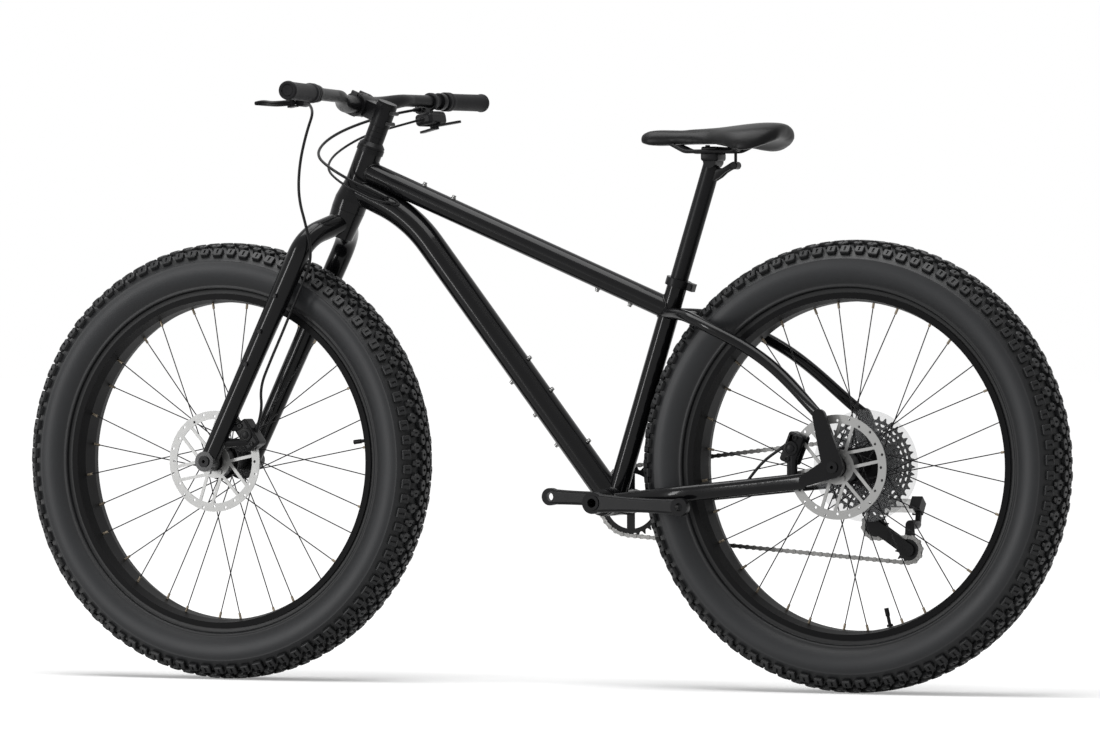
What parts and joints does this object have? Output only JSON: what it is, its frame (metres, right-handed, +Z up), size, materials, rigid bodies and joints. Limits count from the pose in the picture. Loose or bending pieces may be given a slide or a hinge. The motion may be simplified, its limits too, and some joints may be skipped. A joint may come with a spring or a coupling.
{
  "type": "fat tire bike",
  "caption": "Rigid fat tire bicycle: wide knobbly tyres on spoked rims, disc brakes, chain drive with a rear derailleur, bent down tube, straight fork and sloping top tube.",
  "frame": {"origin": "on the floor, midway between the two wheels, in the bicycle's middle plane", "axes": "+X forward towards the front wheel, +Y to the rider's left, +Z up"},
  "size_m": [1.988, 0.8028, 1.0535],
  "materials": {
    "frame_paint": "gloss black paint",
    "satin_alloy": "satin black anodised",
    "rim_alloy": "satin black",
    "bright_steel": "bright",
    "dark_steel": "dark oxide",
    "chain_steel": "bright",
    "tyre_rubber": "matt charcoal",
    "grip_rubber": "matt",
    "hose_sleeve": "semi-gloss",
    "black_plastic": "satin",
    "saddle_skin": "smooth matt skin over foam"
  },
  "bodies": {
    "frame": {"head_tube": "frame_paint", "top_tube": "frame_paint", "down_tube": "frame_paint", "seat_tube": "frame_paint", "bottom_bracket_shell": "frame_paint", "chainstays": "frame_paint", "seatstays": "frame_paint", "dropouts": "frame_paint", "seat_collar": "satin_alloy", "bearing_cups": "satin_alloy", "rear_thru_axle": "dark_steel", "rear_caliper": "satin_alloy", "frame_bolts": "bright_steel", "rear_brake_hose": "hose_sleeve", "shift_housing": "hose_sleeve", "chain": "chain_steel", "derailleur_knuckle": "satin_alloy"},
    "steering": {"fork_crown": "frame_paint", "fork_legs": "frame_paint", "headset_spacers": "satin_alloy", "stem_body": "satin_alloy", "stem_faceplate": "satin_alloy", "steering_bolts": "bright_steel", "handlebar": "satin_alloy", "grips": "grip_rubber", "brake_lever_bodies": "satin_alloy", "shifter_body": "black_plastic", "front_caliper": "satin_alloy", "front_brake_hose": "hose_sleeve", "front_thru_axle": "dark_steel"},
    "front_wheel": {"front_rim": "rim_alloy", "front_valve": "dark_steel", "front_tyre": "tyre_rubber", "front_spokes": "dark_steel", "front_hub": "satin_alloy", "front_rotor": "bright_steel"},
    "rear_wheel": {"rear_rim": "rim_alloy", "rear_valve": "dark_steel", "rear_tyre": "tyre_rubber", "rear_spokes": "dark_steel", "rear_hub": "satin_alloy", "rear_rotor": "bright_steel"},
    "crankset": {"crank_arms": "satin_alloy", "chainring": "satin_alloy"},
    "cassette": {"cassette": "dark_steel"},
    "saddle": {"saddle_rails": "dark_steel", "saddle_shell": "black_plastic", "saddle_cover": "saddle_skin"},
    "left_brake_lever": {"left_brake_lever": "satin_alloy"},
    "right_brake_lever": {"right_brake_lever": "satin_alloy"},
    "shift_thumb_lever": {"shift_thumb_lever": "black_plastic"},
    "shift_release_lever": {"shift_release_lever": "black_plastic"},
    "seatpost": {"seatpost": "satin_alloy"},
    "saddle_clamp": {"saddle_clamp": "satin_alloy"},
    "derailleur_outer_link": {"derailleur_outer_link": "satin_alloy"},
    "derailleur_inner_link": {"derailleur_inner_link": "satin_alloy"},
    "derailleur_p_knuckle": {"derailleur_p_knuckle": "satin_alloy"},
    "derailleur_cage": {"derailleur_cage": "satin_alloy"},
    "guide_pulley": {"guide_pulley": "black_plastic"},
    "tension_pulley": {"tension_pulley": "black_plastic"}
  },
  "joints": [
    {"name": "steering", "type": "hinge", "parent": "frame", "child": "steering", "pos_m": [0.36867, 0, 0.83794], "axis": [-0.3827, 0, 0.9239], "range_deg": [-60, 60], "deforming": ["rear_brake_hose", "shift_housing"]},
    {"name": "front_wheel_spin", "type": "hinge", "parent": "steering", "child": "front_wheel", "pos_m": [0.604, 0, 0.39], "axis": [0, 1, 0], "continuous": true},
    {"name": "rear_wheel_spin", "type": "hinge", "parent": "frame", "child": "rear_wheel", "pos_m": [-0.604, 0, 0.39], "axis": [0, 1, 0], "continuous": true},
    {"name": "crank_spin", "type": "hinge", "parent": "frame", "child": "crankset", "pos_m": [-0.14977, 0, 0.324], "axis": [0, 1, 0], "continuous": true, "deforming": ["chain"]},
    {"name": "cassette_spin", "type": "hinge", "parent": "frame", "child": "cassette", "pos_m": [-0.604, 0, 0.39], "axis": [0, 1, 0], "continuous": true},
    {"name": "derailleur_swing", "type": "hinge", "parent": "frame", "child": "derailleur_outer_link", "pos_m": [-0.612, -0.12058, 0.32594], "axis": [0, 0.7923, 0.6101], "range_deg": [-24, 36]},
    {"name": "derailleur_inner_swing", "type": "hinge", "parent": "frame", "child": "derailleur_inner_link", "pos_m": [-0.612, -0.11142, 0.31406], "axis": [0, 0.7923, 0.6101], "range_deg": [-24, 36]},
    {"name": "derailleur_p_knuckle_turn", "type": "hinge", "parent": "derailleur_outer_link", "child": "derailleur_p_knuckle", "pos_m": [-0.667, -0.12058, 0.32594], "axis": [0, 0.7923, 0.6101], "range_deg": [-36, 24]},
    {"name": "derailleur_cage_turn", "type": "hinge", "parent": "derailleur_p_knuckle", "child": "derailleur_cage", "pos_m": [-0.674, -0.0715, 0.288], "axis": [0, 1, 0], "range_deg": [-8, 20], "stiffness_Nm_per_rad": 1},
    {"name": "guide_pulley_spin", "type": "hinge", "parent": "derailleur_cage", "child": "guide_pulley", "pos_m": [-0.612, -0.07, 0.286], "axis": [0, 1, 0], "continuous": true},
    {"name": "tension_pulley_spin", "type": "hinge", "parent": "derailleur_cage", "child": "tension_pulley", "pos_m": [-0.674, -0.07, 0.245], "axis": [0, 1, 0], "continuous": true},
    {"name": "left_brake_squeeze", "type": "hinge", "parent": "steering", "child": "left_brake_lever", "pos_m": [0.34434, 0.27274, 1.02033], "axis": [0.1724, 0.0126, 0.9849], "range_deg": [0, 22], "stiffness_Nm_per_rad": 0.8, "springref_deg": -8.59},
    {"name": "right_brake_squeeze", "type": "hinge", "parent": "steering", "child": "right_brake_lever", "pos_m": [0.34434, -0.27274, 1.02033], "axis": [-0.1724, 0.0126, -0.9849], "range_deg": [0, 22], "stiffness_Nm_per_rad": 0.8, "springref_deg": -8.59},
    {"name": "shift_thumb_push", "type": "hinge", "parent": "steering", "child": "shift_thumb_lever", "pos_m": [0.30492, -0.2218, 0.99296], "axis": [-0.1724, 0.0126, -0.9849], "range_deg": [0, 25], "stiffness_Nm_per_rad": 0.3, "springref_deg": -5.73},
    {"name": "shift_release_pull", "type": "hinge", "parent": "steering", "child": "shift_release_lever", "pos_m": [0.30492, -0.2218, 0.99296], "axis": [-0.1724, 0.0126, -0.9849], "range_deg": [0, 20], "stiffness_Nm_per_rad": 0.3, "springref_deg": -5.73},
    {"name": "seatpost_height", "type": "slide", "parent": "frame", "child": "seatpost", "axis": [-0.3007, 0, 0.9537], "range_m": [-0.12, 0.045]},
    {"name": "saddle_tilt", "type": "hinge", "parent": "seatpost", "child": "saddle_clamp", "pos_m": [-0.33681, 0, 0.91721], "axis": [0, 1, 0], "range_deg": [-8, 8]},
    {"name": "saddle_fore_aft", "type": "slide", "parent": "saddle_clamp", "child": "saddle", "axis": [1, 0, 0], "range_m": [-0.015, 0.015]}
  ],
  "couplings": [
    {"joint": "cassette_spin", "follows": "crank_spin", "ratio": 1.25},
    {"joint": "guide_pulley_spin", "follows": "crank_spin", "ratio": -2.7273},
    {"joint": "tension_pulley_spin", "follows": "crank_spin", "ratio": 2.7273},
    {"joint": "derailleur_inner_swing", "follows": "derailleur_swing", "ratio": 1},
    {"joint": "derailleur_p_knuckle_turn", "follows": "derailleur_swing", "ratio": -1}
  ]
}
